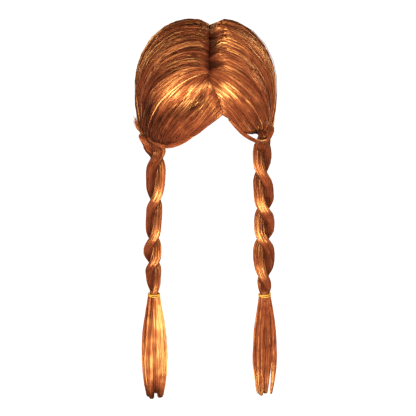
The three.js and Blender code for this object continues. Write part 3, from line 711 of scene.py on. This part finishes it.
def gatherFibres(sideName):
    dice = np.random.default_rng(gatherPlan["seed"] + sides[sideName]["seed"])
    count, steps = gatherPlan["fibres"], gatherPlan["steps"]
    t = np.linspace(gatherPlan["begin"], 1, steps)[None, :] * np.ones((count, 1))
    angle = dice.uniform(0, fullTurn, count)[:, None] + gatherPlan["lean"] * dice.normal(0, 1, (count, 1)) * t
    paths = onGather(sideName, angle, t, dice.uniform(*gatherPlan["grow"], (count, 1)))
    runOn = gatherPlan["runOn"] * dice.uniform(*gatherPlan["runOnShare"], count)
    axis = np.array((sides[sideName]["rootX"], root["y"]))
    paths[:, -1, :2] = axis + (paths[:, -1, :2] - axis) * (1 - gatherPlan["drawIn"] * runOn / runOn.max())[:, None]
    paths[:, -1, 2] -= runOn
    hanging = dice.random(count) < gatherPlan["hanging"]
    knee = int(np.searchsorted(t[0], gatherPlan["hangFrom"]))
    share = np.linspace(0, 1, steps - knee)[None, :, None]
    paths[hanging, knee:] = between(paths[hanging, knee, None], paths[hanging, -1, None], share)
    paths = np.concatenate([paths, feederPaths(sideName, dice)])
    radii = dice.uniform(*fibreSize["radius"], (len(paths), 1)) * np.ones((1, steps))
    tone = dice.normal(gatherPlan["tone"], gatherPlan["toneSpread"], len(paths))
    return fibreMesh(paths, radii, tone, gatherPlan["gloss"], dice)


for sideName in sides:
    core = tubeMesh(
        *gatherPlan["grid"], lambda u, v: onGather(sideName, fullTurn * u, v, gatherPlan["core"]), gatherPlan["size"])
    finishHair("gather_" + sideName, core, gatherFibres(sideName))
print("gathers made")


# the plaits' strands

plaitPlan = {
    "grid": (14, 110), "around": 50, "coreGrow": -0.6, "strands": {"a": 0.0, "b": 0.5},
    "fibres": 850, "steps": 9, "begin": (-0.3, 0.95), "run": (40, 75), "leastRun": 15, "past": (1, 3),
    "untwist": 0.85, "spread": 2.45, "grow": (-0.5, 0.45), "sink": 1.1, "rise": 0.4, "endSize": 0.45,
    "seed": 31, "tone": 0.5, "toneSpread": 0.07, "gloss": (0.2, 0.5), "glossFront": (0.3, 0.9),
    # painted shade on each strand's inner sides, where the two strands meet
    "creaseShade": 0.28, "creaseTurn": (1.1, 2.1),  # darker where the two strands meet
    # painted highlight: the cross values make a strand paler where it starts to cross over and faces the front
    "crossHighlight": 0.36, "crossEarly": 0.2, "crossShare": (0, 2), "crossFacing": (0.5, 0.95), "crossFront": (0.6, 0.98),
    # painted shade: the side and root tones darken a strand where it turns behind and under the cap
    "behindShade": 0.05, "sideBehind": (0, 0.8), "capShade": 0.13, "shelter": (12, 48),
}


def turnsAt(sideName, drop):  # half turns of the plait, quicker where the strands cross
    halfTurns = readTable(plaitHang[sideName], drop, 3)
    return halfTurns + plaitForm["quickening"] * np.sin(fullTurn * halfTurns) / fullTurn


def onStrand(sideName, share, drop, angle, grow):
    side = sides[sideName]
    sway, girth = (readTable(plaitHang[sideName], drop, c) for c in (1, 2))
    bearing = math.pi * (side["twist"] * turnsAt(sideName, drop) + 2 * share - 0.5)
    reach = plaitForm["radius"] * girth + grow
    x = np.maximum(plaitForm["offset"] * girth + reach * np.cos(angle), plaitForm["flat"])
    y = reach * np.sin(angle)
    return np.stack([
        side["rootX"] + sway + x * np.cos(bearing) - y * np.sin(bearing),
        root["y"] + x * np.sin(bearing) + y * np.cos(bearing),
        root["z"] - drop], -1)


def strandFibres(sideName, share):
    seed = plaitPlan["seed"] + sides[sideName]["seed"] + int(10 * share)
    dice = np.random.default_rng(seed)
    count, steps, twist = plaitPlan["fibres"], plaitPlan["steps"], sides[sideName]["twist"]
    above, below = plaitPlan["past"]
    first = dice.uniform(*plaitPlan["begin"], count) * plaitForm["length"]
    top = np.maximum(first, -above)
    foot = np.minimum(first + dice.uniform(*plaitPlan["run"], count), plaitForm["length"] + below)
    keep = foot - top > plaitPlan["leastRun"]
    top, foot, count = top[keep, None], foot[keep, None], int(keep.sum())
    t = np.linspace(0, 1, steps)
    drop = between(top, foot, t)
    turned = turnsAt(sideName, drop)
    untwist = math.pi * twist * plaitPlan["untwist"]  # fibres lie along their strand
    angle = dice.uniform(-plaitPlan["spread"], plaitPlan["spread"], (count, 1))
    angle = angle - untwist * (turned - turned[:, steps // 2, None])
    body = np.sin(math.pi * t) ** plaitPlan["rise"]
    grow = dice.uniform(*plaitPlan["grow"], count)[:, None] * body - plaitPlan["sink"] * (1 - body)
    paths = onStrand(sideName, share, drop, angle, grow)
    radii = dice.uniform(*fibreSize["radius"], (count, 1)) * between(plaitPlan["endSize"], 1, body)

    tone = plaitPlan["tone"] + dice.normal(0, plaitPlan["toneSpread"], count)
    # painted shade on the strand's inner sides, where it meets the other
    creaseShade = plaitPlan["creaseShade"] * blendTo(*plaitPlan["creaseTurn"], np.abs(angle))
    # 1 where the strand starts to cross over the other
    inFront = np.cos(math.pi * (twist * (turned + plaitPlan["crossEarly"]) + 2 * share))
    facing = np.cos(math.pi * (twist * turned + 2 * share) + angle)
    lit = blendTo(*plaitPlan["shelter"], drop)  # the cap shades the top
    gloss = between(*plaitPlan["gloss"], blendTo(*plaitPlan["glossFront"], inFront) * lit)
    # painted highlight: paler where the strand starts to cross over the other and faces the front
    over = plaitPlan["crossHighlight"] * dice.uniform(*plaitPlan["crossShare"], (count, 1)) * lit
    over = over * blendTo(*plaitPlan["crossFacing"], facing) * blendTo(*plaitPlan["crossFront"], inFront)
    # painted shade where the strand turns behind the other, and at the top under the cap
    under = plaitPlan["behindShade"] * blendTo(*plaitPlan["sideBehind"], -inFront) + plaitPlan["capShade"] * (1 - lit)
    return fibreMesh(paths, radii, tone[:, None] - creaseShade + over - under, gloss, dice)


for sideName in sides:
    for letter, share in plaitPlan["strands"].items():
        core = tubeMesh(
            *plaitPlan["grid"],
            lambda u, v: onStrand(sideName, share, v * plaitForm["length"], fullTurn * u, plaitPlan["coreGrow"]),
            (plaitPlan["around"], plaitForm["length"]))
        finishHair("plait_" + sideName + "_" + letter, core, strandFibres(sideName, share))
print("plaits made")


# the tails below the bands

tailPlan = {
    "locksStart": 10.5, "core": 0.62, "coreEnd": 0.97, "coreGrid": (8, 24), "coreAround": 25,
    "neckRadius": 5.6, "neckLength": 14, "neckGrid": (14, 6), "neckAround": 40,
    "fibres": 1400, "steps": 9, "seed": 41, "begin": -0.03, "endSpread": 0.06, "far": (0.15, 1.1), "sway": 0.16,
    "swayKnots": 4, "crowding": 1.5, "tipTaper": 0.35, "gloss": 0.3, "glossFrom": (0, 0.25), "toneSpread": 0.1,
    "strands": 9, "strandTone": 0.07, "downTo": (0.1, 0.6), "tipsFrom": (0.65, 0.97),
}
# share of the way down, spread and width of the locks
tailShape = [
    (0, 0.37, 0.6), (0.14, 0.66, 0.74), (0.34, 0.88, 0.9), (0.6, 1, 1), (0.76, 0.96, 0.9), (0.88, 0.86, 0.72),
    (1, 0.7, 0.45),
]
# share of the way down, swing forward
tailBow = {
    "left": [(0, 0), (0.2, 3), (0.5, 9.5), (0.75, 12.5), (1, 10.5)],
    "right": [(0, 0), (0.25, -1.5), (0.55, -3), (0.8, -1.5), (1, 3)],
}
# x and y where a lock hangs at the tail's widest, length, half width, tones at the band, half way and at the tips
# lock tones: hair shades with painted highlight down the left tail and at the right tips, painted shade on the first
# left lock
tailLocks = {
    "left": [
        (-11.5, 1, 149, 4.7, 0.36, 0.88, 0.66),
        (-6, -4.5, 150, 5.2, 0.6, 0.9, 0.36),
        (-1, 4, 143, 5.4, 0.8, 0.8, 0.5),
        (4, -4.5, 142, 5.2, 0.9, 0.9, 0.5),
        (8.5, 3, 151, 5, 0.95, 0.87, 0.6),
        (11.5, -1.5, 149, 4.8, 0.95, 0.92, 0.72),
    ],
    "right": [
        (-9, 1, 148, 4.7, 0.55, 0.6, 0.84),
        (-4.5, -4.5, 149, 5.2, 0.5, 0.55, 0.82),
        (0, 4, 147, 5.4, 0.55, 0.55, 0.8),
        (3.5, -4, 146, 5, 0.5, 0.55, 0.78),
        (9, 3, 114, 5, 0.5, 0.55, 0.6),
        (13.6, -1, 148, 3.2, 0.58, 0.65, 0.9),
    ],
}


def tailTop(sideName):
    x = sides[sideName]["rootX"] + footSway[sideName]
    return np.array((x, root["y"], root["z"] - plaitForm["length"] - plaitForm["gap"]))


def onLock(sideName, lock, t, x, y):  # x and y are places within the lock, -1 to 1
    spread, width = (readTable(tailShape, t, c) for c in (1, 2))
    drop = between(tailPlan["locksStart"], lock[..., 2], t)
    across = lock[..., 0] * spread + x * lock[..., 3] * width
    behind = lock[..., 1] * spread + y * lock[..., 3] * width - readTable(tailBow[sideName], t)
    return np.stack([across, behind, -drop], -1) + tailTop(sideName)


def tailFibres(sideName):
    dice = np.random.default_rng(tailPlan["seed"] + sides[sideName]["seed"])
    count, steps, strands = tailPlan["fibres"], tailPlan["steps"], tailPlan["strands"]
    locks = np.array(tailLocks[sideName])
    share = locks[:, 3] ** tailPlan["crowding"]  # wider locks have more fibres
    pick = dice.choice(len(locks), count, p=share / share.sum())
    ends = 1 - tailPlan["endSpread"] * dice.random(count) ** 2
    t = np.linspace(tailPlan["begin"], 1, steps)[None, :] * ends[:, None]
    far, turn = np.sqrt(dice.uniform(*tailPlan["far"], count)), dice.uniform(0, fullTurn, count)
    sway = tailPlan["sway"] * wander(dice.normal(0, 1, (count, tailPlan["swayKnots"])), t)
    x = (far * np.cos(turn))[:, None] + sway
    y = (far * np.sin(turn))[:, None] + sway[:, ::-1]
    paths = onLock(sideName, locks[pick][:, None, :], t, x, y)
    taper = 1 - tailPlan["tipTaper"] * np.linspace(0, 1, steps) ** 3
    radii = dice.uniform(*fibreSize["radius"], (count, 1)) * taper

    strand = (turn / fullTurn * strands).astype(int)
    strandTone = dice.normal(0, tailPlan["strandTone"], (len(locks), strands))
    kin = pick + dice.integers(-1, 2, (len(locks), strands))[pick, strand]
    kin = np.clip(kin, 0, len(locks) - 1)  # some strands have a neighbouring lock's tones
    tone = strandTone[pick, strand] + dice.normal(0, tailPlan["toneSpread"], count)
    down, tips = blendTo(*tailPlan["downTo"], t), blendTo(*tailPlan["tipsFrom"], t)
    atBand, half, atTips = (locks[kin, c][:, None] for c in (4, 5, 6))
    tone = tone[:, None] + atBand + (half - atBand) * down + (atTips - half) * tips
    gloss = tailPlan["gloss"] * blendTo(*tailPlan["glossFrom"], t)
    return fibreMesh(paths, radii, tone, gloss, dice)


def tailCore(sideName):  # a tube in each lock, and one through the band
    top, core, radius = tailTop(sideName), tailPlan["core"], tailPlan["neckRadius"]
    tubes = [tubeMesh(
        *tailPlan["coreGrid"],
        lambda u, v: onLock(
            sideName, lock, v * tailPlan["coreEnd"], core * np.cos(fullTurn * u), core * np.sin(fullTurn * u)),
        (tailPlan["coreAround"], lock[2])) for lock in np.array(tailLocks[sideName])]
    tubes.append(tubeMesh(
        *tailPlan["neckGrid"],
        lambda u, v: top + np.stack(
            [radius * np.cos(fullTurn * u), radius * np.sin(fullTurn * u), -tailPlan["neckLength"] * v], -1),
        (tailPlan["neckAround"], tailPlan["neckLength"])))
    bm = bmesh.new()
    for tube in tubes:
        bm.from_mesh(tube)
        bpy.data.meshes.remove(tube)
    return toMesh(bm)


for sideName in sides:
    finishHair("tail_" + sideName, tailCore(sideName), tailFibres(sideName))
print("tails made")


# the elastic bands, each wound round three times

bandPlan = {"radius": 7.6, "thread": 0.8, "below": 6, "spacing": 1.35, "steps": 40, "sides": 10}
# slopes towards the back and to the side, of each band and of each turn in it
bandTilt = {"left": (-0.17, -0.03), "right": (-0.17, -0.09)}
turnTilts = [(0.05, 0.02), (-0.06, -0.05), (0.03, 0.07)]


def onBand(sideName, k, u, v):
    far = bandPlan["radius"] + bandPlan["thread"] * np.cos(fullTurn * v)
    x, y = far * np.cos(fullTurn * u), far * np.sin(fullTurn * u)
    z = bandPlan["thread"] * np.sin(fullTurn * v) + (1 - k) * bandPlan["spacing"] - bandPlan["below"]
    back, side = np.add(bandTilt[sideName], turnTilts[k])
    return np.stack([x, y, z + back * y - side * x], -1) + tailTop(sideName)


def bandMesh(sideName):
    bm = bmesh.new()
    size = (fullTurn * bandPlan["radius"], fullTurn * bandPlan["thread"])
    for k in range(len(turnTilts)):
        gridSheet(bm, bandPlan["steps"], bandPlan["sides"], lambda u, v: onBand(sideName, k, u, v), size)
    bmesh.ops.remove_doubles(bm, verts=bm.verts, dist=mergeWithin * mm)
    return toMesh(bm)


for sideName in sides:
    name = "band_" + sideName
    finishPiece(name + "_turns", bandMesh(sideName), [elastic], [name])
print("bands made")


# the locks that leave the fringe's edge and wrap the plaits' roots

wrapLocks = {
    "left": {
        "radius": 2.4, "tone": 0.6,
        "route": [(-10, -99, -96.5), (-22, -97.8, -105.6), (-36.4, -93.3, -114), (-48.6, -86, -118),
                  (-58.7, -77, -118), (-66.5, -67, -116.5), (-71.5, -57, -114.5)],
    },
    "right": {
        "radius": 2.3, "tone": 0.5,
        "route": [(29.5, -97, -79.5), (38.5, -96, -89), (47.4, -92.5, -99.3), (56.3, -85, -108), (64, -76, -115),
                  (72, -64, -121), (79.5, -52, -121.5), (85, -44, -115), (86.5, -39, -110)],
    },
}
wrapPlan = {
    "grid": (8, 40), "size": (15, 100), "core": 0.75, "taper": (0.8, 0.6), "twist": 1.2, "step": 0.01,
    "sideways": (0.0, -0.6, 0.8),  # never along a lock
    "fibres": 120, "steps": 20, "far": (0.4, 1.05), "endTaper": 0.5, "toneSpread": 0.12, "gloss": 0.5, "seed": 51,
}


def onWrap(lock, t, angle, far):
    before, middle, after = (
        through(lock["route"], np.clip(t + k * wrapPlan["step"], 0, 1)) for k in (-1, 0, 1))
    ahead = after - before
    ahead /= np.linalg.norm(ahead, axis=-1, keepdims=True)
    across = np.cross(ahead, wrapPlan["sideways"])
    across /= np.linalg.norm(across, axis=-1, keepdims=True)
    taper = np.where(t < 0.5, *wrapPlan["taper"])
    reach = (far * lock["radius"] * (1 - taper * (2 * t - 1) ** 4))[..., None]
    return middle + reach * (np.cos(angle)[..., None] * across + np.sin(angle)[..., None] * np.cross(ahead, across))


def wrapFibres(sideName, lock):
    dice = np.random.default_rng(wrapPlan["seed"] + sides[sideName]["seed"])
    count, steps = wrapPlan["fibres"], wrapPlan["steps"]
    t = np.linspace(0, 1, steps)[None, :] * np.ones((count, 1))
    angle = dice.uniform(0, fullTurn, (count, 1)) + wrapPlan["twist"] * t
    far = np.sqrt(dice.uniform(*wrapPlan["far"], (count, 1)))
    taper = 1 - wrapPlan["endTaper"] * np.linspace(-1, 1, steps) ** 6
    radii = dice.uniform(*fibreSize["radius"], (count, 1)) * taper
    tone = dice.normal(lock["tone"], wrapPlan["toneSpread"], count)
    return fibreMesh(onWrap(lock, t, angle, far), radii, tone, wrapPlan["gloss"], dice)


for sideName, lock in wrapLocks.items():
    core = tubeMesh(
        *wrapPlan["grid"], lambda u, v: onWrap(lock, v, fullTurn * u, wrapPlan["core"]), wrapPlan["size"])
    finishHair("wrap_lock_" + sideName, core, wrapFibres(sideName, lock))
print("wrap locks made")


# a few hairs that flick out beside the left temple

flick = {
    "route": [(-76, -53, -113), (-81, -52, -109), (-85, -50, -102), (-87.5, -47, -94)], "length": (0.6, 1),
    "fibres": 22, "steps": 10, "spread": (0.8, 2.2), "tipTaper": 0.5, "tone": 0.6, "toneSpread": 0.15,
    "gloss": 0.4, "seed": 61,
}


def flickFibres():
    dice = np.random.default_rng(flick["seed"])
    count = flick["fibres"]
    t = np.linspace(0, 1, flick["steps"])[None, :] * dice.uniform(*flick["length"], (count, 1))
    spread = between(*flick["spread"], t[..., None])
    paths = through(flick["route"], t) + dice.normal(0, 1, (count, 1, 3)) * spread
    radii = dice.uniform(*fibreSize["radius"], (count, 1)) * (1 - flick["tipTaper"] * t ** 2)
    tone = dice.normal(flick["tone"], flick["toneSpread"], count)
    return fibreMesh(paths, radii, tone, flick["gloss"], dice)


finishPiece("fringe_left_strays", flickFibres(), [fibre])
print("added triangles", sum(added.values()), "largest", max(added.values()))


# stage, light and camera

stagePlan = {
    "floorDrop": 2.5, "floorSize": 80, "cardFar": 12, "cardHigh": 40, "cardSides": 48,  # metres
    "paper": "#fbfbfa", "paperGlow": 1.0, "paperRoughness": 0.9, "world": 0.1,
    "aim": (4.5, -38, -220), "elevation": 22, "distance": 2600, "frameWidth": 531, "sensor": 36,  # mm and degrees
    "clipEnd": 200,  # metres
}
# azimuth from the front towards +X, elevation, distance in metres, width, height, watts, colour
lamps = {
    "front_key": (-2, 13, 2.4, 2.4, 0.5, 285, "#fff2e0"),
    "rim_left": (-138, 18, 2.2, 1.2, 1.2, 70, "#ffca88"),
    "rim_right": (138, 18, 2.2, 1.2, 1.2, 100, "#ffca88"),
    "paper_glow": (180, -18, 2.4, 3.0, 1.4, 75, "#ffd298"),
}
target = Vector(stagePlan["aim"]) * mm


def standAt(name, data, azimuth, elevation, distance):  # an object that looks at the target
    stand = bpy.data.objects.new(name, data)
    stand.location = target + Vector(towards(azimuth, elevation)) * distance
    stand.rotation_euler = (target - stand.location).to_track_quat("-Z", "Y").to_euler()
    bpy.context.scene.collection.objects.link(stand)
    return stand


def paperSheet(name, bm):
    sheet = bpy.data.objects.new(name, toMesh(bm))
    sheet.data.name = name
    bpy.context.scene.collection.objects.link(sheet)
    sheet.data.materials.append(paper)
    sheet.visible_diffuse = sheet.visible_glossy = False
    return sheet


paper, paperTree = newMaterial("white_paper")  # seamless background paper, matt and lit evenly from below
paperSkin = addNode(paperTree, "BsdfPrincipled", {
    "Base Color": linear(stagePlan["paper"]), "Roughness": stagePlan["paperRoughness"],
    "Emission Color": linear(stagePlan["paper"]), "Emission Strength": stagePlan["paperGlow"]})
addNode(paperTree, "OutputMaterial", {"Surface": paperSkin.outputs["BSDF"]})

bm = bmesh.new()
bmesh.ops.create_grid(bm, x_segments=1, y_segments=1, size=stagePlan["floorSize"] / 2)
bmesh.ops.translate(bm, verts=bm.verts, vec=(0, 0, -stagePlan["floorDrop"]))
floor = paperSheet("floor", bm)
bm = bmesh.new()  # white card all round, beyond the lamps
bmesh.ops.create_cone(
    bm, segments=stagePlan["cardSides"], radius1=stagePlan["cardFar"], radius2=stagePlan["cardFar"],
    depth=stagePlan["cardHigh"])
card = paperSheet("white_card", bm)
card.visible_shadow = False

for lampName, (azimuth, elevation, distance, width, height, watts, colour) in lamps.items():
    lamp = bpy.data.lights.new(lampName, "AREA")
    lamp.shape, lamp.size, lamp.size_y = "RECTANGLE", width, height
    lamp.energy, lamp.color = watts, linear(colour)[:3]
    standAt(lampName, lamp, azimuth, elevation, distance).visible_camera = False

world = bpy.data.worlds.new("studio")
world.use_nodes = True
world.node_tree.nodes.clear()
glow = addNode(world.node_tree, "Background", {"Color": (1, 1, 1, 1), "Strength": stagePlan["world"]})
addNode(world.node_tree, "OutputWorld", {"Surface": glow.outputs["Background"]})
bpy.context.scene.world = world
bpy.context.scene.view_settings.view_transform = "Standard"

lens = bpy.data.cameras.new("camera")
lens.sensor_width = stagePlan["sensor"]
lens.lens = stagePlan["sensor"] * stagePlan["distance"] / stagePlan["frameWidth"]
lens.clip_end = stagePlan["clipEnd"]
bpy.context.scene.camera = standAt("camera", lens, 0, stagePlan["elevation"], stagePlan["distance"] * mm)
print("stage set")
